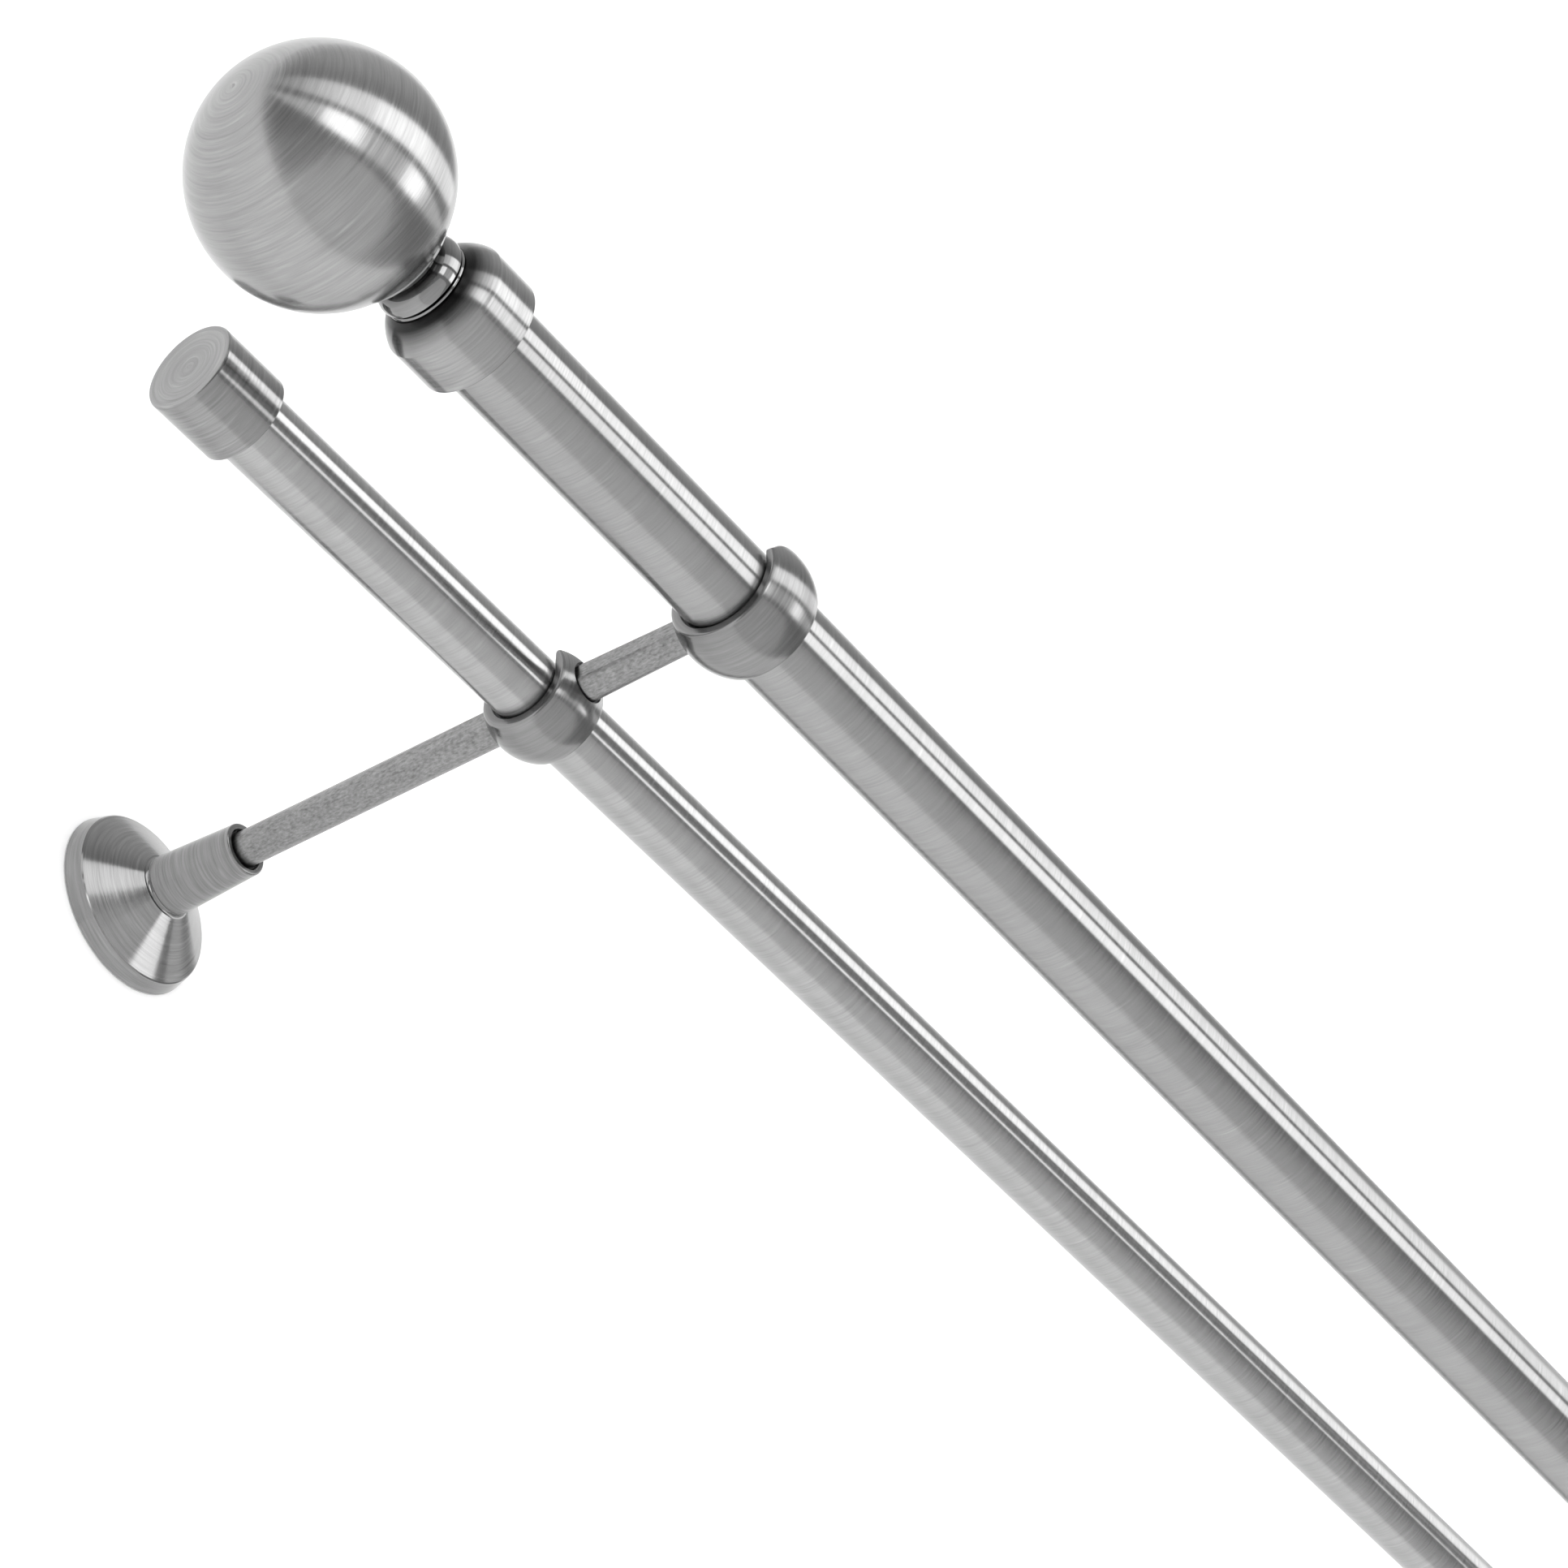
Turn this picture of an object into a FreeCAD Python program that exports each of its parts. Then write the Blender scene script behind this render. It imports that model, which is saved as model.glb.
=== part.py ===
"""Double curtain rod set: two rods carried by two wall brackets, with ball finials and end caps.

Frame: X runs along the rods, the wall is the plane Y = 0 with the room on its -Y side, and Z is up.
The origin is the centre of the left bracket's wall plate, on the wall. All sizes are millimetres.
"""
import FreeCAD, Part
import math
import os

Vector = FreeCAD.Vector
ALONG_X = Vector(1, 0, 0)
INTO_ROOM = Vector(0, -1, 0)
UP = Vector(0, 0, 1)

# Rods: steel tubes, the thick one in front and the thin one behind it
FRONT_ROD_R = 12.5
FRONT_ROD_WALL = 1.0
FRONT_ROD_LENGTH = 1200.0
FRONT_ROD_OUT = 196.0
REAR_ROD_R = 9.5
REAR_ROD_WALL = 0.8
REAR_ROD_OUT = 135.0

# Rod ends, measured from the bracket's middle plane
FRONT_OVERHANG = 117.5
REAR_OVERHANG = 132.5
BRACKET_SPACING = FRONT_ROD_LENGTH - 2 * FRONT_OVERHANG

# Fits
CRADLE_GAP = 0.3
SLIDE_GAP = 0.05
THREAD_GAP = 0.02

# Wall plate and its stud
PLATE_R = 22.2
PLATE_T = 3.0
PLATE_BOSS_R = 7.0
PLATE_BOSS_TOP = 11.0
PLATE_EDGE = 0.4
SCREW_HOLE_R = 2.25
SCREW_HEAD_R = 3.7
SCREW_CIRCLE_D = 30.0
SCREW_COUNT = 3
STUD_R = 3.0
STUD_START = 1.5
STUD_LENGTH = 16.0
STUD_EDGE = 0.5

# Rosette: a thin cone that covers the wall plate
ROSETTE_R = 24.7
ROSETTE_RIM_R = 23.5
ROSETTE_RIM = 5.0
ROSETTE_TOP = 14.2
ROSETTE_NECK_R = 8.9
ROSETTE_SKIN = 1.2
ROSETTE_EDGE = 0.3
ROSETTE_CROWN = 1.0

# Sleeve that holds the arm
SLEEVE_BASE_R = 8.2
SLEEVE_MOUTH_R = 7.15
SLEEVE_END = 39.6
SLEEVE_SPIGOT_R = 4.95
MOUTH_BORE_R = 5.65
MOUTH_BORE_DEPTH = 3.6
SLEEVE_FLOOR = 20.0
SLEEVE_EDGE = 0.35
GRUB_OUT = 32.0
GRUB_R = 2.0
GRUB_TOP = 7.3
GRUB_POINT = 0.5
GRUB_EDGE = 0.2
HEX_R = 1.15
HEX_DEPTH = 1.3

# Arm: a 9.5 mm bar in two lengths, with flats on its sides
ARM_R = 4.75
ARM_START = 23.0
ARM_EDGE = 0.4
FLAT_START = 78.0
FLAT_HALF_WIDTH = 4.25
FRONT_ARM_ROOT_R = 4.9
FRONT_ARM_TIP_R = 4.4
FLAT_RATIO = 0.9
POCKET_WALL = 1.5
POCKET_RELIEF_R = 5.5
POCKET_RELIEF = 2.4

# Cradles: balls bored for the rods and slotted open at the top
FRONT_CRADLE_R = 17.8
FRONT_CRADLE_WIDTH = 18.4
REAR_CRADLE_R = 14.9
REAR_CRADLE_WIDTH = 16.4
REAR_HORN_TOP = 6.6
REAR_HORN_INSIDE = 0.95
REAR_HORN_OUTSIDE = 3.7
FRONT_HORN_ROUNDING = 1.3
CRADLE_EDGE = 1.2
BORE_EDGE = 0.4

# Finial ball, collar and screw, as distances out from the bracket's middle plane
BALL_R = 30.4
BALL_OUT = 161.8
BALL_SKIN = 1.0
BALL_BOSS_R = 6.0
BALL_BOSS_END = 143.0
COLLAR_R = 16.35
COLLAR_BACK = 104.7
COLLAR_SHOULDER = 117.6
COLLAR_FRONT = 123.6
COLLAR_BORE_R = 14.2
COLLAR_BORE_END = 118.5
COLLAR_FRONT_R = 11.2
COLLAR_DOME = (121.3, 14.1)
COLLAR_EDGE = 0.25
BUSH_RECESS = 0.8
BUSH_LEAD = 0.3
FINIAL_SCREW_R = 2.5
FINIAL_SCREW_END = 141.0
FINIAL_HEAD_R = 4.5
FINIAL_HEAD_T = 2.8
FINIAL_HEAD_EDGE = 1.0
FINIAL_POINT = 0.5

# Neck between the collar and the ball: radii, and distances past the collar's front
NECK_FOOT_R = 11.0
NECK_FOOT_END = 1.0
NECK_FOOT_EDGE = 0.3
NECK_GROOVE_R = 10.1
NECK_GROOVE = (1.2, 1.7)
NECK_BULGE_R = 11.2
NECK_BULGE_START = 1.8
NECK_BULGE_MIDDLE = (4.2, 11.1)
NECK_BULGE_END = (6.6, 9.0)
NECK_WAIST_R = 8.5
NECK_WAIST = (7.0, 7.9)
NECK_HOLLOW = (8.3, 8.7)
NECK_FLARE = (8.5, 9.2)
FLANGE_R = 14.0
FLANGE_T = 0.75

# End cap of the rear rod
CAP_R = 12.25
CAP_FACE = 134.8
CAP_LENGTH = 19.5
CAP_SKIN = 1.2
CAP_FACE_T = 1.5
CAP_EDGE = 0.6
CAP_BACK_EDGE = 0.15


def lathe(outline, base, direction, start=UP):
    """Turn an outline of (distance along the axis, radius) points into a solid.

    A step that holds two points is an arc: through the first and ending at the second.
    The seam of the turned faces lies on the side that start points to.
    """
    def place(point):
        return base + direction * point[0] + start * point[1]

    edges = []
    here = place(outline[0])
    for step in outline[1:] + [outline[0]]:
        if isinstance(step[0], tuple):
            through, there = place(step[0]), place(step[1])
            edges.append(Part.Arc(here, through, there).toShape())
        else:
            there = place(step)
            edges.append(Part.makeLine(here, there))
        here = there
    face = Part.Face(Part.Wire(edges))
    return face.revolve(base, direction, 360)


def box(low, high):
    return Part.makeBox(high[0] - low[0], high[1] - low[1], high[2] - low[2], Vector(*low))


def bracket_point(x, out, z=0.0):
    """A point at a distance out from the wall, on the bracket whose middle plane is at x."""
    return Vector(x, -out, z)


# ---- Rods -------------------------------------------------------------------------------------

def rod(radius, wall, out, overhang):
    length = BRACKET_SPACING + 2 * overhang
    edge = wall / 4
    outline = [
        (0, radius - wall),
        (0, radius - edge),
        (edge, radius),
        (length - edge, radius),
        (length, radius - edge),
        (length, radius - wall),
    ]
    return lathe(outline, Vector(-overhang, -out, 0), ALONG_X)


# ---- Wall end of the bracket ------------------------------------------------------------------

def wall_plate(x):
    base = bracket_point(x, 0)
    outline = [
        (0, 0),
        (0, PLATE_R - PLATE_EDGE),
        (PLATE_EDGE, PLATE_R),
        (PLATE_T - PLATE_EDGE, PLATE_R),
        (PLATE_T, PLATE_R - PLATE_EDGE),
        (PLATE_T, PLATE_BOSS_R),
        (PLATE_BOSS_TOP, PLATE_BOSS_R),
        (PLATE_BOSS_TOP, STUD_R + THREAD_GAP),
        (STUD_START, STUD_R + THREAD_GAP),
        (STUD_START, 0),
    ]
    plate = lathe(outline, base, INTO_ROOM)
    sink_depth = SCREW_HEAD_R - SCREW_HOLE_R
    for number in range(SCREW_COUNT):
        turn = math.radians(90 + 360 * number / SCREW_COUNT)
        hole_base = base + Vector(math.cos(turn), 0, math.sin(turn)) * (SCREW_CIRCLE_D / 2)
        sink_base = hole_base + INTO_ROOM * (PLATE_T - sink_depth)
        hole = Part.makeCylinder(SCREW_HOLE_R, PLATE_T, hole_base, INTO_ROOM)
        sink = Part.makeCone(SCREW_HOLE_R, SCREW_HEAD_R, sink_depth, sink_base, INTO_ROOM)
        plate = plate.cut(hole).cut(sink)
    return plate


def wall_stud(x):
    end = STUD_START + STUD_LENGTH
    outline = [
        (STUD_START, 0),
        (STUD_START, STUD_R - STUD_EDGE),
        (STUD_START + STUD_EDGE, STUD_R),
        (end - STUD_EDGE, STUD_R),
        (end, STUD_R - STUD_EDGE),
        (end, 0),
    ]
    return lathe(outline, bracket_point(x, 0), INTO_ROOM)


def rosette_cover(x):
    edge = ROSETTE_EDGE
    cone_end = ROSETTE_TOP - ROSETTE_CROWN
    inner_top = ROSETTE_TOP - 1.5 * ROSETTE_SKIN
    lip_r = SLEEVE_SPIGOT_R + SLIDE_GAP
    crown = (cone_end + ROSETTE_CROWN / 4, ROSETTE_NECK_R - 3 * ROSETTE_CROWN / 4)
    outline = [
        (0, ROSETTE_R - ROSETTE_SKIN),
        (0, ROSETTE_R - edge),
        (edge, ROSETTE_R),
        (ROSETTE_RIM - edge, ROSETTE_RIM_R),
        (ROSETTE_RIM, ROSETTE_RIM_R - edge),
        (cone_end, ROSETTE_NECK_R),
        (crown, (ROSETTE_TOP, ROSETTE_NECK_R - ROSETTE_SKIN)),
        (ROSETTE_TOP, lip_r),
        (inner_top, lip_r),
        (inner_top, ROSETTE_NECK_R - ROSETTE_SKIN),
        (ROSETTE_RIM - ROSETTE_SKIN / 2, ROSETTE_RIM_R - ROSETTE_SKIN),
    ]
    return lathe(outline, bracket_point(x, 0), INTO_ROOM)


def arm_sleeve(x):
    edge = SLEEVE_EDGE
    skew = edge * (1 - math.sqrt(0.5))
    neck = ROSETTE_TOP + edge
    stud_end = STUD_START + STUD_LENGTH
    outline = [
        (PLATE_BOSS_TOP, STUD_R + THREAD_GAP),
        (PLATE_BOSS_TOP, SLEEVE_SPIGOT_R),
        (ROSETTE_TOP, SLEEVE_SPIGOT_R),
        (ROSETTE_TOP, SLEEVE_BASE_R - edge),
        ((ROSETTE_TOP + skew, SLEEVE_BASE_R - skew), (neck, SLEEVE_BASE_R)),
        (SLEEVE_END - edge, SLEEVE_MOUTH_R),
        ((SLEEVE_END - skew, SLEEVE_MOUTH_R - skew), (SLEEVE_END, SLEEVE_MOUTH_R - edge)),
        (SLEEVE_END, MOUTH_BORE_R + edge / 2),
        (SLEEVE_END - edge / 2, MOUTH_BORE_R),
        (SLEEVE_END - MOUTH_BORE_DEPTH, MOUTH_BORE_R),
        (SLEEVE_END - MOUTH_BORE_DEPTH, ARM_R + SLIDE_GAP),
        (SLEEVE_FLOOR, ARM_R + SLIDE_GAP),
        (SLEEVE_FLOOR, 0),
        (stud_end + STUD_EDGE, 0),
        (stud_end + STUD_EDGE, STUD_R + THREAD_GAP),
    ]
    sleeve = lathe(outline, bracket_point(x, 0), INTO_ROOM, Vector(1, 0, 0))
    thread = Part.makeCylinder(GRUB_R + THREAD_GAP, SLEEVE_BASE_R, bracket_point(x, GRUB_OUT), UP)
    return sleeve.cut(thread)


def sleeve_grub_screw(x):
    bottom = ARM_R + 2 * SLIDE_GAP
    outline = [
        (bottom, 0),
        (bottom, GRUB_R - GRUB_POINT),
        (bottom + GRUB_POINT, GRUB_R),
        (GRUB_TOP - GRUB_EDGE, GRUB_R),
        (GRUB_TOP, GRUB_R - GRUB_EDGE),
        (GRUB_TOP, 0),
    ]
    screw = lathe(outline, bracket_point(x, GRUB_OUT), UP, ALONG_X)
    corners = []
    for number in range(7):
        turn = math.radians(60 * number)
        corner = Vector(HEX_R * math.cos(turn), HEX_R * math.sin(turn), GRUB_TOP - HEX_DEPTH)
        corners.append(corner + bracket_point(x, GRUB_OUT))
    socket = Part.Face(Part.makePolygon(corners)).extrude(UP * (HEX_DEPTH + 1))
    return screw.cut(socket)


# ---- Arm and cradles --------------------------------------------------------------------------

def rear_arm(x):
    """Round at the sleeve, with side flats that open out towards the rear cradle."""
    end = REAR_ROD_OUT - REAR_ROD_R - CRADLE_GAP - POCKET_WALL
    outline = [
        (ARM_START, 0),
        (ARM_START, ARM_R - ARM_EDGE),
        (ARM_START + ARM_EDGE, ARM_R),
        (end, ARM_R),
        (end, 0),
    ]
    bar = lathe(outline, bracket_point(x, 0), INTO_ROOM)
    for side in (-1, 1):
        wedge = Part.Face(Part.makePolygon([
            Vector(x + side * ARM_R, -FLAT_START, -ARM_R),
            Vector(x + side * FLAT_HALF_WIDTH, -end, -ARM_R),
            Vector(x + side * 2 * ARM_R, -end, -ARM_R),
            Vector(x + side * ARM_R, -FLAT_START, -ARM_R),
        ]))
        bar = bar.cut(wedge.extrude(UP * 2 * ARM_R))
    return bar


def flatted_section(x, out, radius):
    """Outline of the round bar with a flat on each side."""
    half_width = radius * FLAT_RATIO
    half_height = math.sqrt(radius ** 2 - half_width ** 2)

    def at(dx, z):
        return bracket_point(x + dx, out, z)

    bottom = Part.Arc(at(-half_width, -half_height), at(0, -radius), at(half_width, -half_height))
    top = Part.Arc(at(half_width, half_height), at(0, radius), at(-half_width, half_height))
    right = Part.makeLine(at(half_width, -half_height), at(half_width, half_height))
    left = Part.makeLine(at(-half_width, half_height), at(-half_width, -half_height))
    return Part.Wire([bottom.toShape(), right, top.toShape(), left])


def front_arm(x):
    """Flatted bar between the cradles, a little slimmer at its front end."""
    start = REAR_ROD_OUT + REAR_ROD_R + CRADLE_GAP + POCKET_WALL
    end = FRONT_ROD_OUT - FRONT_ROD_R - CRADLE_GAP - POCKET_WALL
    root = flatted_section(x, start, FRONT_ARM_ROOT_R)
    tip = flatted_section(x, end, FRONT_ARM_TIP_R)
    return Part.makeLoft([root, tip], True, True)


def cradle(x, out, ball_r, bore_r, width):
    """Ball with a rod bore along X, cut off square at both sides and slotted open at the top."""
    half = width / 2
    face_r = math.sqrt(ball_r ** 2 - half ** 2)
    outline = [
        (-half, bore_r),
        (-half, face_r),
        ((0, ball_r), (half, face_r)),
        (half, bore_r),
    ]
    ball = lathe(outline, bracket_point(x, out), ALONG_X)
    rims = [edge for edge in ball.Edges if is_circle(edge, face_r)]
    ball = ball.makeFillet(CRADLE_EDGE, rims)
    ball = ball.makeFillet(BORE_EDGE, [edge for edge in ball.Edges if is_circle(edge, bore_r)])
    slot = box((x - width, -out - bore_r, 0), (x + width, -out + bore_r, 2 * ball_r))
    return ball.cut(slot)


def is_circle(edge, radius):
    curve = edge.Curve
    return isinstance(curve, Part.Circle) and abs(curve.Radius - radius) < 0.001


def past_rear_horn(x, toward, bore_r):
    """What lies beyond a rear horn: the space over its top, rounded less inside than outside."""
    start = x - REAR_CRADLE_WIDTH
    sky = 2 * REAR_CRADLE_R
    inside = REAR_HORN_INSIDE
    outside = REAR_HORN_OUTSIDE
    inner_bend = REAR_HORN_TOP - inside
    outer_bend = REAR_HORN_TOP - outside
    reach = math.sqrt((REAR_CRADLE_R - outside) ** 2 - outer_bend ** 2)
    scale = REAR_CRADLE_R / (REAR_CRADLE_R - outside)
    outer_turn = (math.pi / 2 + math.atan2(outer_bend, reach)) / 2

    def at(side, z):
        return Vector(start, toward * side - REAR_ROD_OUT, z)

    inner_middle = at(
        bore_r + inside * (1 - math.sqrt(0.5)), inner_bend + inside * math.sqrt(0.5))
    outer_middle = at(
        reach + outside * math.cos(outer_turn), outer_bend + outside * math.sin(outer_turn))
    inner_top = at(bore_r + inside, REAR_HORN_TOP)
    outer_top = at(reach, REAR_HORN_TOP)
    outer_foot = at(reach * scale, outer_bend * scale)
    edges = [
        Part.Arc(at(bore_r, inner_bend), inner_middle, inner_top).toShape(),
        Part.makeLine(inner_top, outer_top),
        Part.Arc(outer_top, outer_middle, outer_foot).toShape(),
        Part.makeLine(outer_foot, at(sky, outer_bend * scale)),
        Part.makeLine(at(sky, outer_bend * scale), at(sky, sky)),
        Part.makeLine(at(sky, sky), at(0, sky)),
        Part.makeLine(at(0, sky), at(0, inner_bend)),
        Part.makeLine(at(0, inner_bend), at(bore_r, inner_bend)),
    ]
    return Part.Face(Part.Wire(edges)).extrude(ALONG_X * 2 * REAR_CRADLE_WIDTH)


def past_front_horn(x, toward, bore_r):
    """What lies beyond a front horn's rounded tip, turned about the cradle's room-to-wall axis."""
    bend_out = bore_r + FRONT_HORN_ROUNDING
    bend_r = math.sqrt((FRONT_CRADLE_R - FRONT_HORN_ROUNDING) ** 2 - bend_out ** 2)
    scale = FRONT_CRADLE_R / (FRONT_CRADLE_R - FRONT_HORN_ROUNDING)
    tip_turn = (math.pi + math.atan2(bend_r, bend_out)) / 2
    tip = (
        bend_out + FRONT_HORN_ROUNDING * math.cos(tip_turn),
        bend_r + FRONT_HORN_ROUNDING * math.sin(tip_turn),
    )
    sky = 2 * FRONT_CRADLE_R
    outline = [
        (bore_r, bend_r),
        (tip, (bend_out * scale, bend_r * scale)),
        (bend_out * scale, sky),
        (0, sky),
        (0, bend_r),
    ]
    ring = lathe(outline, bracket_point(x, FRONT_ROD_OUT), Vector(0, toward, 0))
    low = (x - sky, -FRONT_ROD_OUT - sky, FRONT_CRADLE_R / 4)
    high = (x + sky, -FRONT_ROD_OUT + sky, sky)
    return ring.common(box(low, high))


def rear_cradle(x):
    """Thin rod's cradle, with pockets for both lengths of the arm."""
    bore_r = REAR_ROD_R + CRADLE_GAP
    ball = cradle(x, REAR_ROD_OUT, REAR_CRADLE_R, bore_r, REAR_CRADLE_WIDTH)
    for toward in (-1, 1):
        ball = ball.cut(past_rear_horn(x, toward, bore_r))
    relief_start = REAR_ROD_OUT + REAR_CRADLE_R - POCKET_RELIEF
    relief = Part.makeCylinder(
        POCKET_RELIEF_R, POCKET_RELIEF + 1, bracket_point(x, relief_start), INTO_ROOM)
    return ball.cut(rear_arm(x)).cut(front_arm(x)).cut(relief)


def front_cradle(x):
    bore_r = FRONT_ROD_R + CRADLE_GAP
    ball = cradle(x, FRONT_ROD_OUT, FRONT_CRADLE_R, bore_r, FRONT_CRADLE_WIDTH)
    for toward in (-1, 1):
        ball = ball.cut(past_front_horn(x, toward, bore_r))
    return ball.cut(front_arm(x))


# ---- Finials and end caps ---------------------------------------------------------------------

def rod_end(side, out):
    """Start point and outward direction of the pieces at the left (-1) or right (+1) rod end."""
    x = 0 if side < 0 else BRACKET_SPACING
    return bracket_point(x, out), Vector(side, 0, 0)


def ball_back(radius):
    """Distance out at which the ball's rod-side surface has a given radius."""
    return BALL_OUT - math.sqrt(BALL_R ** 2 - radius ** 2)


def finial_ball(side):
    """Hollow ball with a threaded boss inside."""
    inner_r = BALL_R - BALL_SKIN
    thread_r = FINIAL_SCREW_R + THREAD_GAP
    boss_root = BALL_OUT - math.sqrt(inner_r ** 2 - BALL_BOSS_R ** 2)
    outline = [
        (ball_back(thread_r), thread_r),
        ((BALL_OUT, BALL_R), (BALL_OUT + BALL_R, 0)),
        (BALL_OUT + inner_r, 0),
        ((BALL_OUT, inner_r), (boss_root, BALL_BOSS_R)),
        (BALL_BOSS_END, BALL_BOSS_R),
        (BALL_BOSS_END, thread_r),
    ]
    base, direction = rod_end(side, FRONT_ROD_OUT)
    return lathe(outline, base, direction)


def finial_neck(side):
    """Turned neck: a foot ring, a groove, a bulge, a waist and a dished flange under the ball."""
    hole_r = FINIAL_SCREW_R + SLIDE_GAP
    foot = COLLAR_FRONT
    foot_r = NECK_FOOT_R - NECK_FOOT_EDGE
    flange = ball_back(FLANGE_R)
    lip = FLANGE_T / 5

    def past_collar(point):
        return foot + point[0], point[1]

    outline = [
        (foot, hole_r),
        (foot, foot_r),
        ((foot + NECK_FOOT_END / 2, NECK_FOOT_R), (foot + NECK_FOOT_END, foot_r)),
        (foot + NECK_GROOVE[0], NECK_GROOVE_R),
        (foot + NECK_GROOVE[1], NECK_GROOVE_R),
        (foot + NECK_BULGE_START, NECK_BULGE_R),
        (past_collar(NECK_BULGE_MIDDLE), past_collar(NECK_BULGE_END)),
        (foot + NECK_WAIST[0], NECK_WAIST_R),
        (foot + NECK_WAIST[1], NECK_WAIST_R),
        (past_collar(NECK_HOLLOW), past_collar(NECK_FLARE)),
        (flange - FLANGE_T, FLANGE_R - lip),
        ((flange - FLANGE_T / 2, FLANGE_R + lip), (flange, FLANGE_R)),
        ((ball_back(FLANGE_R / 2), FLANGE_R / 2), (ball_back(hole_r), hole_r)),
    ]
    base, direction = rod_end(side, FRONT_ROD_OUT)
    return lathe(outline, base, direction)


def finial_collar(side):
    """Cup that covers the rod's end, with a domed shoulder."""
    outline = [
        (COLLAR_BACK, COLLAR_BORE_R),
        (COLLAR_BACK, COLLAR_R - COLLAR_EDGE),
        (COLLAR_BACK + COLLAR_EDGE, COLLAR_R),
        (COLLAR_SHOULDER, COLLAR_R),
        (COLLAR_DOME, (COLLAR_FRONT, COLLAR_FRONT_R)),
        (COLLAR_FRONT, FINIAL_SCREW_R + SLIDE_GAP),
        (COLLAR_BORE_END, FINIAL_SCREW_R + SLIDE_GAP),
        (COLLAR_BORE_END, COLLAR_BORE_R),
    ]
    base, direction = rod_end(side, FRONT_ROD_OUT)
    return lathe(outline, base, direction)


def finial_bush(side):
    """Plastic ring pressed into the collar, a slide fit on the rod."""
    start = COLLAR_BACK + BUSH_RECESS
    end = COLLAR_BORE_END - FINIAL_HEAD_T
    outline = ring_outline(start, end, FRONT_ROD_R + SLIDE_GAP, COLLAR_BORE_R)
    base, direction = rod_end(side, FRONT_ROD_OUT)
    return lathe(outline, base, direction)


def finial_screw(side):
    head = COLLAR_BORE_END - FINIAL_HEAD_T
    edge = FINIAL_HEAD_EDGE
    skew = edge * (1 - math.sqrt(0.5))
    outline = [
        (head, 0),
        (head, FINIAL_HEAD_R - edge),
        ((head + skew, FINIAL_HEAD_R - skew), (head + edge, FINIAL_HEAD_R)),
        (COLLAR_BORE_END, FINIAL_HEAD_R),
        (COLLAR_BORE_END, FINIAL_SCREW_R),
        (FINIAL_SCREW_END - FINIAL_POINT, FINIAL_SCREW_R),
        (FINIAL_SCREW_END, FINIAL_SCREW_R - FINIAL_POINT),
        (FINIAL_SCREW_END, 0),
    ]
    base, direction = rod_end(side, FRONT_ROD_OUT)
    return lathe(outline, base, direction)


def ring_outline(start, end, inner_r, outer_r):
    """Outline of a bush, with a lead-in where the rod enters."""
    return [
        (start, inner_r + BUSH_LEAD),
        (start, outer_r),
        (end, outer_r),
        (end, inner_r),
        (start + BUSH_LEAD, inner_r),
    ]


def end_cap(side):
    """Cup with a flat face that closes the thin rod."""
    back = CAP_FACE - CAP_LENGTH
    edge = CAP_EDGE
    skew = edge * (1 - math.sqrt(0.5))
    outline = [
        (back, CAP_R - CAP_SKIN),
        (back, CAP_R - CAP_BACK_EDGE),
        (back + CAP_BACK_EDGE, CAP_R),
        (CAP_FACE - edge, CAP_R),
        ((CAP_FACE - skew, CAP_R - skew), (CAP_FACE, CAP_R - edge)),
        (CAP_FACE, 0),
        (CAP_FACE - CAP_FACE_T, 0),
        (CAP_FACE - CAP_FACE_T, CAP_R - CAP_SKIN),
    ]
    base, direction = rod_end(side, REAR_ROD_OUT)
    return lathe(outline, base, direction)


def end_cap_bush(side):
    """Plastic ring pressed into the cap, a slide fit on the rod."""
    start = CAP_FACE - CAP_LENGTH + BUSH_RECESS
    end = CAP_FACE - CAP_FACE_T
    outline = ring_outline(start, end, REAR_ROD_R + SLIDE_GAP, CAP_R - CAP_SKIN)
    base, direction = rod_end(side, REAR_ROD_OUT)
    return lathe(outline, base, direction)


# ---- Assembly ---------------------------------------------------------------------------------

BRACKET_PIECES = [
    wall_plate, wall_stud, rosette_cover, arm_sleeve, sleeve_grub_screw,
    rear_arm, rear_cradle, front_arm, front_cradle,
]
END_PIECES = [
    finial_ball, finial_neck, finial_collar, finial_bush, finial_screw,
    end_cap, end_cap_bush,
]


def build():
    """Every piece by name."""
    pieces = {
        "front_rod": rod(FRONT_ROD_R, FRONT_ROD_WALL, FRONT_ROD_OUT, FRONT_OVERHANG),
        "rear_rod": rod(REAR_ROD_R, REAR_ROD_WALL, REAR_ROD_OUT, REAR_OVERHANG),
    }
    for hand, side, x in (("left", -1, 0), ("right", 1, BRACKET_SPACING)):
        for make in BRACKET_PIECES:
            pieces[f"{hand}_{make.__name__}"] = make(x)
        for make in END_PIECES:
            pieces[f"{hand}_{make.__name__}"] = make(side)
    return pieces


os.makedirs("parts", exist_ok=True)
for name, shape in build().items():
    shape.exportStep(f"parts/{name}.step")
    print(name, shape.ShapeType, len(shape.Solids), shape.isValid(), round(shape.Volume))
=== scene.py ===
"""Looks for the double curtain rod: brushed and polished nickel, a pale studio, a camera below the rods."""
import math

import bpy
from mathutils import Matrix, Vector


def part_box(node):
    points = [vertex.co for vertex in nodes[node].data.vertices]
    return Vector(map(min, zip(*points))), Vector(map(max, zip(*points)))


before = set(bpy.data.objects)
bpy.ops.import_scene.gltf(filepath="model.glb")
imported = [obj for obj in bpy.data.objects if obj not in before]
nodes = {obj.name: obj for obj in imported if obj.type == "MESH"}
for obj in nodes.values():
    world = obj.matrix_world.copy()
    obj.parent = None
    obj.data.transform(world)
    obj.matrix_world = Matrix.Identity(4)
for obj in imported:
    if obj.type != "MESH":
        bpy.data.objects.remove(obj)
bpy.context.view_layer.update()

HANDS = ("left", "right")


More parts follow.
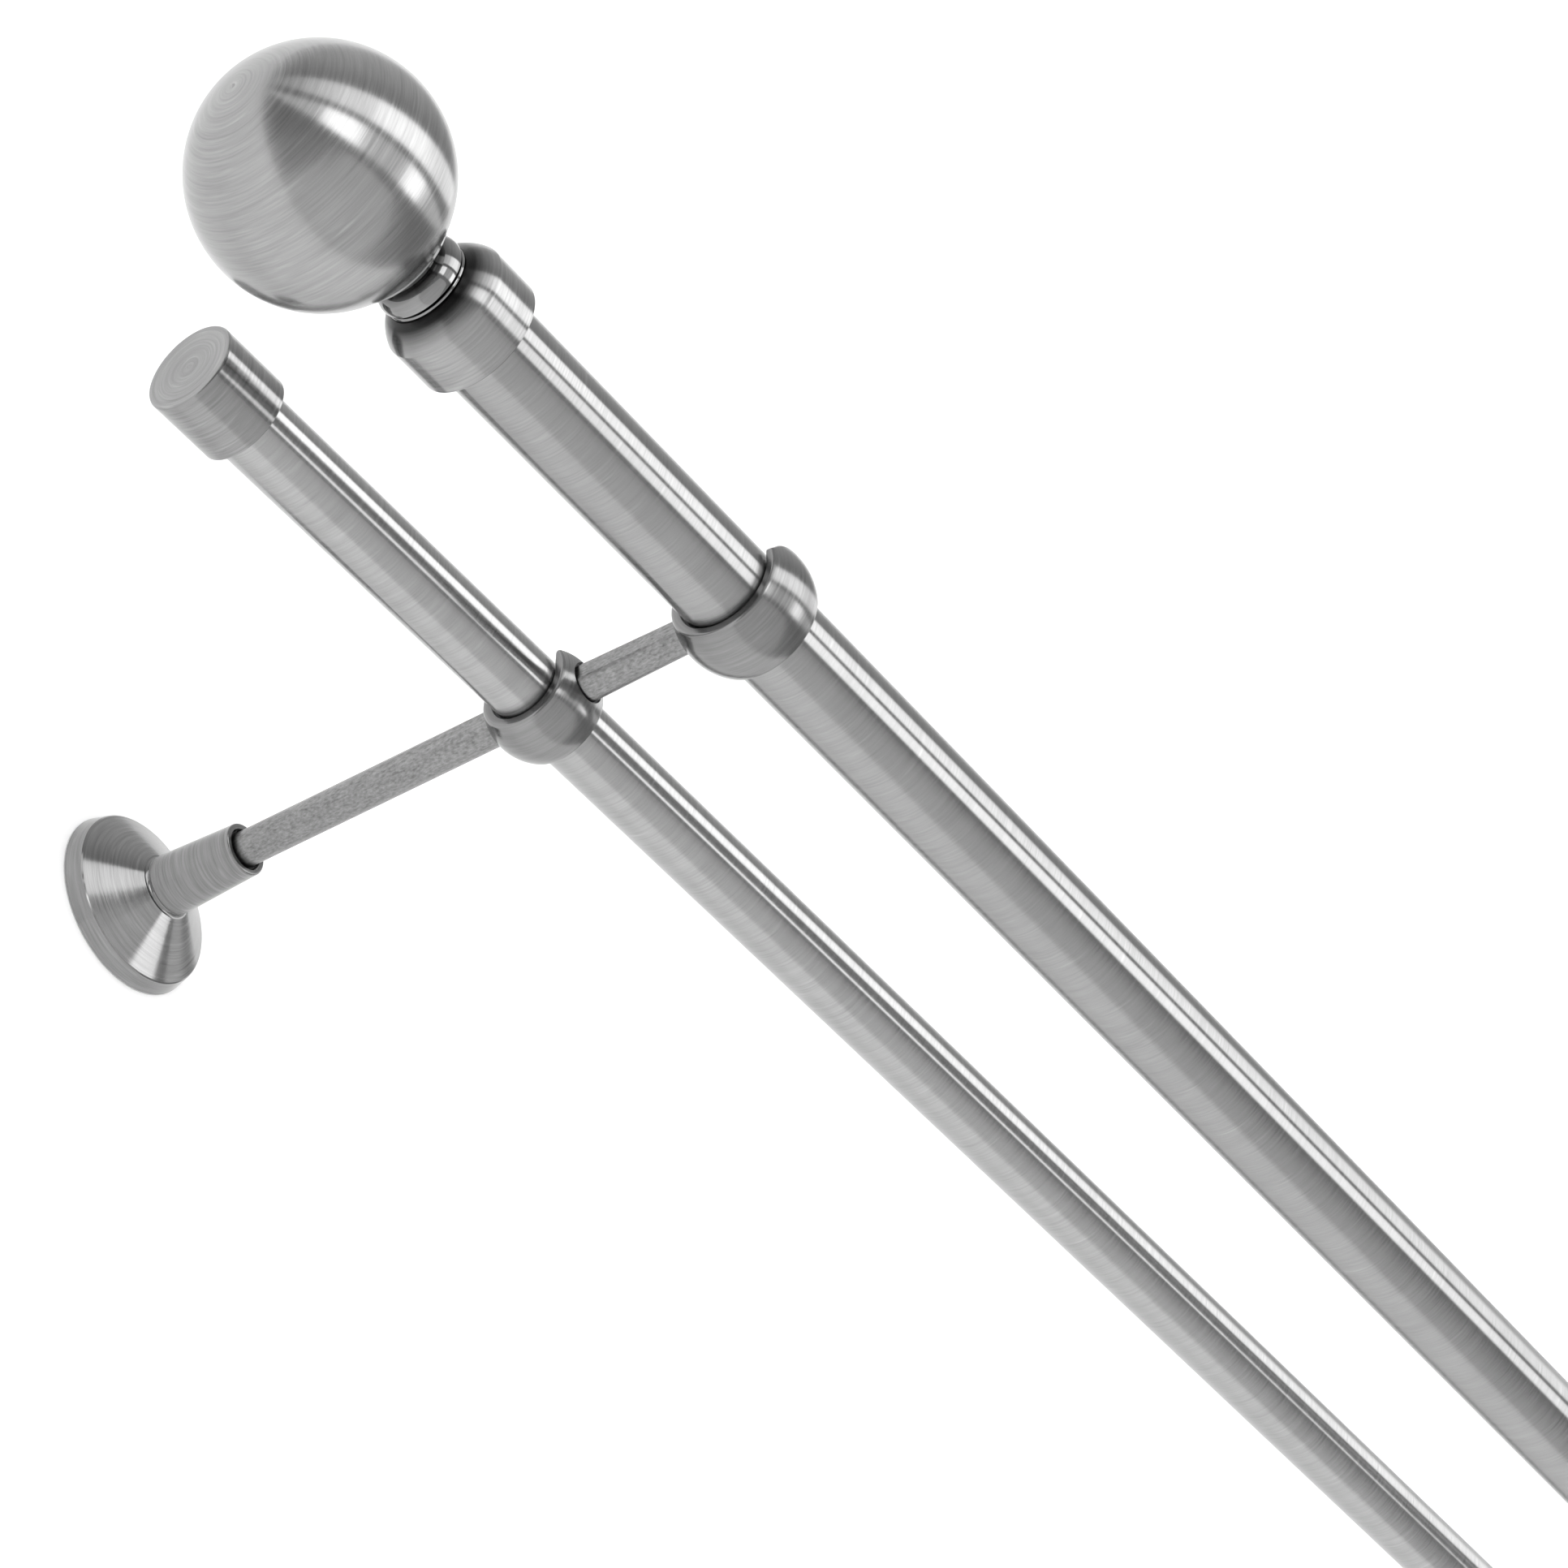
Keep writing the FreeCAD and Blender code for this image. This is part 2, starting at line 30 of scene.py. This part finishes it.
def middle(node):
    low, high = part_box(node)
    return (low + high) / 2


FRONT_AXIS = middle("front_rod")
REAR_AXIS = middle("rear_rod")
BRACKET = {hand: middle(f"{hand}_rosette_cover") for hand in HANDS}
ALONG_RODS = Vector((1, 0, 0))
OUT_OF_WALL = Vector((0, -1, 0))
UP = Vector((0, 0, 1))


# ---- Node trees -------------------------------------------------------------------------------

class Graph:
    """Adds nodes to a tree, with plain values and sockets taken alike as inputs."""

    def __init__(self, tree):
        self.tree = tree
        tree.nodes.clear()

    def node(self, kind, inputs=None, **settings):
        made = self.tree.nodes.new(kind)
        for key, value in settings.items():
            setattr(made, key, value)
        for key, value in (inputs or {}).items():
            self.feed(made.inputs[key], value)
        return made

    def feed(self, socket, value):
        if isinstance(value, bpy.types.NodeSocket):
            self.tree.links.new(value, socket)
        else:
            socket.default_value = value

    def math(self, operation, *values):
        inputs = dict(enumerate(values))
        return self.node("ShaderNodeMath", inputs, operation=operation).outputs[0]

    def vector(self, operation, *values, output="Vector"):
        inputs = dict(enumerate(values))
        return self.node("ShaderNodeVectorMath", inputs, operation=operation).outputs[output]

    def dot(self, vector, direction):
        return self.vector("DOT_PRODUCT", vector, tuple(direction), output="Value")

    def combine(self, x, y, z):
        return self.node("ShaderNodeCombineXYZ", {"X": x, "Y": y, "Z": z}).outputs[0]

    def noise(self, vector, scale, detail=2.0, roughness=0.5, w=None):
        settings = {"noise_dimensions": "3D" if w is None else "4D"}
        inputs = {"Vector": vector, "Scale": scale, "Detail": detail, "Roughness": roughness}
        if w is not None:
            inputs["W"] = w
        return self.node("ShaderNodeTexNoise", inputs, **settings).outputs["Fac"]

    def remap(self, value, low, high, to_low=0.0, to_high=1.0):
        inputs = {"Value": value, "From Min": low, "From Max": high, "To Min": to_low, "To Max": to_high}
        return self.node("ShaderNodeMapRange", inputs, clamp=True).outputs["Result"]

    def swing(self, *parts):
        """1 plus each (noise, contrast) part, with the noise centred on zero."""
        total = 1.0
        for noise, contrast in parts:
            change = self.math("MULTIPLY", self.math("SUBTRACT", noise, 0.5), contrast)
            total = self.math("ADD", change, total)
        return total

    def grey(self, value):
        inputs = {"Red": value, "Green": value, "Blue": value}
        return self.node("ShaderNodeCombineColor", inputs).outputs[0]

    def ramp(self, value, stops):
        """Grey ramp through (place, grey) stops."""
        made = self.node("ShaderNodeValToRGB", {"Fac": value})
        elements = made.color_ramp.elements
        while len(elements) > 1:
            elements.remove(elements[-1])
        for number, (place, grey) in enumerate(stops):
            element = elements[0] if number == 0 else elements.new(place)
            element.position = place
            element.color = (grey, grey, grey, 1)
        return made.outputs["Color"]


def new_material(name):
    material = bpy.data.materials.new(name)
    material.use_nodes = True
    return material, Graph(material.node_tree)


# ---- Metals -----------------------------------------------------------------------------------

# Brushing: pitch of the lines and how far they run before they change (metres), detail of the noise.
# Scratches are the noise between the two values of SCRATCH_NOISE and above
FINE_LINES = (0.0005, 0.014, 2.0)
COARSE_LINES = (0.0020, 0.030, 1.0)
SCRATCHES = (0.0011, 0.009, 0.0)
SCRATCH_NOISE = (0.70, 0.82)

# Contrast: the grey is multiplied by 1, plus or minus half of this where a noise is at its ends
FINE_CONTRAST = 1.1
COARSE_CONTRAST = 0.35
SCRATCH_CONTRAST = 0.5
PATCH_CONTRAST = 0.14
PATCHES_PER_METRE = 45.0

# Bump: its strength, and its depth in metres
LINE_BUMP = 0.35
LINE_DEPTH = 0.00005


def turned_metal(name, centre, axis, grey, roughness, spread, lines, painted_recess_shade=None):
    """Nickel plate brushed in circles about an axis, so its highlights spread along the axis.

    Painted shade: given (inner radius, outer radius, darkest), the grey is dimmed from the outer radius
    to the inner, down to the darkest share of it.
    """
    material, g = new_material(name)
    place = g.node("ShaderNodeTexCoord").outputs["Object"]
    arm = g.vector("SUBTRACT", place, tuple(centre))
    along = g.dot(arm, axis)
    up = g.dot(arm, UP)
    across = g.dot(arm, axis.cross(UP))
    radius = g.vector("LENGTH", g.combine(up, across, 0.0), output="Value")
    normal = g.node("ShaderNodeNewGeometry").outputs["Normal"]
    round_axis = g.vector("CROSS_PRODUCT", tuple(axis), arm)
    tangent = g.vector("NORMALIZE", g.vector("CROSS_PRODUCT", normal, round_axis))

    def brushing(pitch, drift, detail):
        """Lines a pitch apart (metres) that change slowly, over the drift, on their way round."""
        line = g.combine(
            g.math("DIVIDE", along, pitch), g.math("DIVIDE", radius, pitch), g.math("DIVIDE", up, drift))
        return g.noise(line, 1.0, detail=detail, roughness=0.6, w=g.math("DIVIDE", across, drift))

    fine = brushing(*FINE_LINES)
    coarse = brushing(*COARSE_LINES)
    scratches = g.remap(brushing(*SCRATCHES), *SCRATCH_NOISE, 0.5, 1.0)
    patches = g.noise(place, PATCHES_PER_METRE, detail=3.0)
    shade = g.swing(
        (fine, FINE_CONTRAST * lines), (coarse, COARSE_CONTRAST * lines),
        (scratches, SCRATCH_CONTRAST * lines), (patches, PATCH_CONTRAST))
    # Painted shade: the grey is darkened towards the piece's axis, down to the darkest share
    if painted_recess_shade:
        inner, outer, darkest = painted_recess_shade
        shade = g.math("MULTIPLY", shade, g.remap(radius, inner, outer, darkest, 1.0))
    rough = g.remap(fine, 0.3, 0.7, roughness * 0.85, roughness * 1.15)
    height = g.math("ADD", fine, coarse)
    bump = g.node("ShaderNodeBump", {
        "Strength": LINE_BUMP * lines, "Distance": LINE_DEPTH, "Height": height})
    shader = g.node("ShaderNodeBsdfPrincipled", {
        "Base Color": g.grey(g.math("MULTIPLY", shade, grey)),
        "Metallic": 1.0,
        "Roughness": rough,
        "Anisotropic": spread,
        "Tangent": tangent,
        "Normal": bump.outputs[0],
    })
    g.node("ShaderNodeOutputMaterial", {"Surface": shader.outputs[0]})
    return material


# Casting: how far its pebbles and its streaks are drawn out along an arm, which runs along Y
PEBBLE_STRETCH = (1.0, 0.45, 1.0)
STREAK_STRETCH = (1.0, 0.06, 1.0)
MOTTLE_SCALE = 0.2
PEBBLE_BUMP = 0.6
PEBBLE_DEPTH = 0.00008


def cast_metal(name, grey, roughness, grain):
    """Satin nickel over a casting: pebbled grain drawn out along the arm, and broad mottling."""
    material, g = new_material(name)
    place = g.node("ShaderNodeTexCoord").outputs["Object"]
    pebbles = g.noise(g.vector("MULTIPLY", place, PEBBLE_STRETCH), 1 / grain, detail=3.0, roughness=0.6)
    streaks = g.noise(g.vector("MULTIPLY", place, STREAK_STRETCH), 1 / grain, detail=2.0)
    patches = g.noise(place, MOTTLE_SCALE / grain, detail=2.0)
    shade = g.swing((pebbles, 1.5), (streaks, 0.5), (patches, 0.4))
    rough = g.remap(pebbles, 0.25, 0.75, roughness * 0.85, roughness * 1.2)
    bump = g.node("ShaderNodeBump", {
        "Strength": PEBBLE_BUMP, "Distance": PEBBLE_DEPTH, "Height": pebbles})
    shader = g.node("ShaderNodeBsdfPrincipled", {
        "Base Color": g.grey(g.math("MULTIPLY", shade, grey)),
        "Metallic": 1.0,
        "Roughness": rough,
        "Normal": bump.outputs[0],
    })
    g.node("ShaderNodeOutputMaterial", {"Surface": shader.outputs[0]})
    return material


def plastic(name, grey):
    """Moulded nylon with a fine grain."""
    material, g = new_material(name)
    place = g.node("ShaderNodeTexCoord").outputs["Object"]
    grain = g.noise(place, 2500.0)
    bump = g.node("ShaderNodeBump", {"Strength": 0.2, "Distance": 0.00005, "Height": grain})
    shader = g.node("ShaderNodeBsdfPrincipled", {
        "Base Color": g.grey(g.remap(grain, 0.3, 0.7, grey * 0.8, grey * 1.2)),
        "Roughness": g.remap(grain, 0.3, 0.7, 0.45, 0.6),
        "Normal": bump.outputs[0],
    })
    g.node("ShaderNodeOutputMaterial", {"Surface": shader.outputs[0]})
    return material


def dress(node, material):
    mesh = nodes[node].data
    mesh.materials.clear()
    mesh.materials.append(material)


def painted_shade_span(node, centre, inner, outer, darkest):
    """Span of painted shade between two shares of a piece's outer radius, measured down from its axis."""
    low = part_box(node)[0]
    radius = centre.z - low.z
    return inner * radius, outer * radius, darkest


# Both rods are the same brushed nickel: the rear rod's lighter grey is painted light, the front rod's darker
# grey painted shade
FRONT_ROD_SHADED_GREY = 0.34
REAR_ROD_LIT_GREY = 0.40
front_brushed = turned_metal(
    "front_rod_brushed", FRONT_AXIS, ALONG_RODS,
    grey=FRONT_ROD_SHADED_GREY, roughness=0.22, spread=0.90, lines=0.45)
rear_brushed = turned_metal(
    "rear_rod_brushed", REAR_AXIS, ALONG_RODS,
    grey=REAR_ROD_LIT_GREY, roughness=0.22, spread=0.90, lines=0.45)
ball_brushed = turned_metal(
    "ball_brushed", FRONT_AXIS, ALONG_RODS,
    grey=0.345, roughness=0.20, spread=0.60, lines=0.55)
cap_brushed = turned_metal(
    "cap_brushed", REAR_AXIS, ALONG_RODS,
    grey=0.30, roughness=0.22, spread=0.85, lines=0.75)
# The collar, neck and both cradles below carry painted shade: their grey is darkened towards the axis
collar_brushed = turned_metal(
    "collar_brushed", FRONT_AXIS, ALONG_RODS,
    grey=0.34, roughness=0.22, spread=0.80, lines=0.60,
    painted_recess_shade=painted_shade_span("left_finial_collar", FRONT_AXIS, inner=0.78, outer=1.00, darkest=0.10))
neck_polished = turned_metal(
    "neck_polished", FRONT_AXIS, ALONG_RODS,
    grey=0.29, roughness=0.09, spread=0.0, lines=0.40,
    painted_recess_shade=painted_shade_span("left_finial_neck", FRONT_AXIS, inner=0.60, outer=0.80, darkest=0.20))
front_cradle_satin = turned_metal(
    "front_cradle_satin", FRONT_AXIS, ALONG_RODS,
    grey=0.26, roughness=0.22, spread=0.50, lines=0.60,
    painted_recess_shade=painted_shade_span("left_front_cradle", FRONT_AXIS, inner=0.71, outer=0.87, darkest=0.50))
rear_cradle_satin = turned_metal(
    "rear_cradle_satin", REAR_AXIS, ALONG_RODS,
    grey=0.26, roughness=0.22, spread=0.50, lines=0.60,
    painted_recess_shade=painted_shade_span("left_rear_cradle", REAR_AXIS, inner=0.66, outer=0.84, darkest=0.50))
cast = cast_metal("arm_cast", grey=0.26, roughness=0.33, grain=0.0006)
nylon = plastic("bush_nylon", grey=0.04)
steel = cast_metal("fastener_steel", grey=0.35, roughness=0.3, grain=0.0005)

dress("front_rod", front_brushed)
dress("rear_rod", rear_brushed)
for hand in HANDS:
    rosette = turned_metal(
        f"{hand}_rosette_brushed", BRACKET[hand], OUT_OF_WALL,
        grey=0.28, roughness=0.14, spread=0.95, lines=0.70)
    sleeve = turned_metal(
        f"{hand}_sleeve_brushed", BRACKET[hand], OUT_OF_WALL,
        grey=0.26, roughness=0.20, spread=0.80, lines=1.00)
    dress(f"{hand}_rosette_cover", rosette)
    dress(f"{hand}_wall_plate", rosette)
    dress(f"{hand}_arm_sleeve", sleeve)
    dress(f"{hand}_finial_ball", ball_brushed)
    dress(f"{hand}_finial_collar", collar_brushed)
    dress(f"{hand}_finial_neck", neck_polished)
    dress(f"{hand}_end_cap", cap_brushed)
    dress(f"{hand}_front_cradle", front_cradle_satin)
    dress(f"{hand}_rear_cradle", rear_cradle_satin)
    for piece in ("rear_arm", "front_arm"):
        dress(f"{hand}_{piece}", cast)
    for piece in ("wall_stud", "sleeve_grub_screw", "finial_screw"):
        dress(f"{hand}_{piece}", steel)
    for piece in ("finial_bush", "end_cap_bush"):
        dress(f"{hand}_{piece}", nylon)


# ---- Studio -----------------------------------------------------------------------------------

# Light bands, in degrees: lean of their pole from straight up towards the room, heights of their edges
# straight ahead, how far an edge climbs by the sides, and where along them they are brighter
LIGHT_TILT = 10.0
UPPER_BAND = (18.5, 42.5)
LOWER_BAND = (-9.0, 12.0)
BAND_CLIMB = 15.0
LOWER_EDGE_CLIMB = 33.0
LEFT_PATCH = (-49.0, -17.0)
RIGHT_PATCH = (29.0, 50.0)
UPPER_CORE = (-12.0, 48.0)

# Where the upper band fades in and out (middle, half width) and the lower one ends, in degrees of turn
UPPER_FADE_IN = (-68.0, 48.0)
UPPER_FADE_OUT = (110.0, 25.0)
LOWER_REACH = (-105.0, 105.0)

# Brightness of the bands and of their brighter stretches, and what the room gains close to the wall
UPPER_LEVEL = 1.5
CORE_GAIN = 0.9
LOWER_LEVEL = 0.72
PATCH_GAIN = 2.3
WALL_GAIN = 0.30

# The room by height, from straight down (0) to straight up (1) along the tilted pole
ROOM_LEVELS = (
    (0.0, 0.60), (0.25, 0.57), (0.40, 0.50), (0.47, 0.37), (0.56, 0.33), (0.60, 0.38),
    (0.73, 0.38), (0.78, 0.47), (0.88, 0.66), (1.0, 0.74))

# Heights between which the stage's glow fades, in metres, and the share of it left at the lower one
GLOW_FADE = (-2.0, -0.5)
LOW_GLOW = 0.15


def studio_light():
    """Surroundings lit by direction: a dim room, with an upper band of light over a lower one."""
    world = bpy.data.worlds.new("studio")
    bpy.context.scene.world = world
    world.use_nodes = True
    g = Graph(world.node_tree)
    direction = g.vector("NORMALIZE", g.node("ShaderNodeTexCoord").outputs["Generated"])
    tilt = math.radians(LIGHT_TILT)
    zenith = Vector((0, -math.sin(tilt), math.cos(tilt)))
    room = Vector((0, -math.cos(tilt), -math.sin(tilt)))
    up = g.dot(direction, zenith)
    ahead = g.dot(direction, room)
    right = g.dot(direction, ALONG_RODS)
    lift = g.math("DEGREES", g.math("ARCSINE", up))
    turn = g.math("DEGREES", g.math("ARCTAN2", right, ahead))
    rise = g.math("POWER", g.math("DIVIDE", g.math("ABSOLUTE", turn), 90.0), 2.0)

    def step(value, place, soft):
        inputs = {"Value": value, "From Min": place - soft, "From Max": place + soft}
        return g.node("ShaderNodeMapRange", inputs, interpolation_type="SMOOTHSTEP").outputs["Result"]

    def below(value, place, soft):
        return g.math("SUBTRACT", 1.0, step(value, place, soft))

    def window(value, low, high, soft):
        return g.math("MULTIPLY", step(value, low, soft), below(value, high, soft))

    # Bands: heights are measured from an edge that climbs towards the sides
    band_height = g.math("SUBTRACT", lift, g.math("MULTIPLY", rise, BAND_CLIMB))
    upper = g.math(
        "MULTIPLY", step(band_height, UPPER_BAND[0], soft=1.0), below(lift, UPPER_BAND[1], soft=2.0))
    upper = g.math("MULTIPLY", upper, step(turn, *UPPER_FADE_IN))
    upper = g.math("MULTIPLY", upper, below(turn, *UPPER_FADE_OUT))
    core = window(turn, *UPPER_CORE, soft=10.0)
    upper_level = g.math("ADD", UPPER_LEVEL, g.math("MULTIPLY", core, CORE_GAIN))
    lower_bottom = g.math("SUBTRACT", lift, g.math("MULTIPLY", rise, LOWER_EDGE_CLIMB))
    lower = g.math(
        "MULTIPLY", step(lower_bottom, LOWER_BAND[0], soft=2.0), below(band_height, LOWER_BAND[1], soft=1.5))
    lower = g.math("MULTIPLY", lower, window(turn, *LOWER_REACH, soft=15.0))
    left_patch = window(turn, *LEFT_PATCH, soft=3.0)
    right_patch = window(turn, *RIGHT_PATCH, soft=3.0)
    patches = g.math("ADD", left_patch, right_patch)
    lower_level = g.math("ADD", LOWER_LEVEL, g.math("MULTIPLY", patches, PATCH_GAIN))

    # The room itself: dimmest beside the bands, paler overhead and well below
    room_level = g.ramp(g.math("ADD", g.math("DIVIDE", lift, 180.0), 0.5), ROOM_LEVELS)
    beside_wall = below(g.dot(direction, OUT_OF_WALL), 0.02, soft=0.12)
    level = g.math("ADD", g.math("MULTIPLY", beside_wall, WALL_GAIN), room_level)
    level = g.math("ADD", level, g.math("MULTIPLY", upper, upper_level))
    level = g.math("ADD", level, g.math("MULTIPLY", lower, lower_level))
    light = g.node("ShaderNodeBackground", {"Color": (1, 1, 1, 1), "Strength": level})
    seen = g.node("ShaderNodeBackground", {"Color": (1, 1, 1, 1), "Strength": 1.0})
    camera_ray = g.node("ShaderNodeLightPath").outputs["Is Camera Ray"]
    both = g.node("ShaderNodeMixShader", {0: camera_ray, 1: light.outputs[0], 2: seen.outputs[0]})
    g.node("ShaderNodeOutputWorld", {"Surface": both.outputs[0]})


def one_sided(name, grey, glow):
    """Pale matte surface that can't be seen from behind, and dims a little towards the floor."""
    material, g = new_material(name)
    height = g.dot(g.node("ShaderNodeTexCoord").outputs["Object"], UP)
    fading = g.remap(height, *GLOW_FADE, LOW_GLOW * glow, glow)
    behind = g.node("ShaderNodeNewGeometry").outputs["Backfacing"]
    clear = g.node("ShaderNodeBsdfTransparent")
    matte = g.node("ShaderNodeBsdfPrincipled", {
        "Base Color": (grey, grey, grey, 1), "Roughness": 0.9,
        "Emission Color": (1, 1, 1, 1), "Emission Strength": fading})
    matte.inputs["Specular IOR Level"].default_value = 0.0
    both = g.node("ShaderNodeMixShader", {0: behind, 1: matte.outputs[0], 2: clear.outputs[0]})
    g.node("ShaderNodeOutputMaterial", {"Surface": both.outputs[0]})
    return material


def sheet(name, corners, material):
    """Flat piece of the stage, which is no part of the object."""
    mesh = bpy.data.meshes.new(name)
    mesh.from_pydata(corners, [], [(0, 1, 2, 3)])
    mesh.materials.append(material)
    made = bpy.data.objects.new(name, mesh)
    bpy.context.scene.collection.objects.link(made)


# The stage, in metres. The wall's sheet stands a hair behind the backs of the wall plates
WALL_GAP = 0.0002
STAGE_LEFT = -3
STAGE_RIGHT = 4
STAGE_TOP = 3
STAGE_FLOOR = -3
STAGE_FRONT = -6
pale = one_sided("pale_matte", grey=0.9, glow=0.2)
sheet("wall", [
    (STAGE_LEFT, WALL_GAP, STAGE_FLOOR), (STAGE_RIGHT, WALL_GAP, STAGE_FLOOR),
    (STAGE_RIGHT, WALL_GAP, STAGE_TOP), (STAGE_LEFT, WALL_GAP, STAGE_TOP)], pale)
sheet("floor", [
    (STAGE_LEFT, STAGE_FRONT, STAGE_FLOOR), (STAGE_RIGHT, STAGE_FRONT, STAGE_FLOOR),
    (STAGE_RIGHT, WALL_GAP, STAGE_FLOOR), (STAGE_LEFT, WALL_GAP, STAGE_FLOOR)], pale)
studio_light()


# ---- Camera -----------------------------------------------------------------------------------

CAMERA_AZIMUTH = math.radians(-53.82)
CAMERA_ELEVATION = math.radians(-42.98)
CAMERA_ROLL = math.radians(1.62)
CAMERA_DISTANCE = 1.1896
CAMERA_LENS = 108.85
AIM_ALONG = 0.0566
AIM_OUT = 0.1679


def place_camera():
    data = bpy.data.cameras.new("camera")
    data.lens = CAMERA_LENS
    data.sensor_width = 36.0
    data.clip_start = 0.05
    data.clip_end = 50.0
    camera = bpy.data.objects.new("camera", data)
    bpy.context.scene.collection.objects.link(camera)
    level = math.cos(CAMERA_ELEVATION)
    back = Vector((
        math.sin(CAMERA_AZIMUTH) * level, -math.cos(CAMERA_AZIMUTH) * level, math.sin(CAMERA_ELEVATION)))
    level_right = Vector((math.cos(CAMERA_AZIMUTH), math.sin(CAMERA_AZIMUTH), 0))
    right = Matrix.Rotation(CAMERA_ROLL, 3, back) @ level_right
    up = back.cross(right)
    aim = Vector((AIM_ALONG, -AIM_OUT, 0))
    turn = Matrix((right, up, back)).transposed()
    camera.matrix_world = Matrix.Translation(aim + back * CAMERA_DISTANCE) @ turn.to_4x4()
    bpy.context.scene.camera = camera


place_camera()
bpy.context.scene.view_settings.view_transform = "Standard"
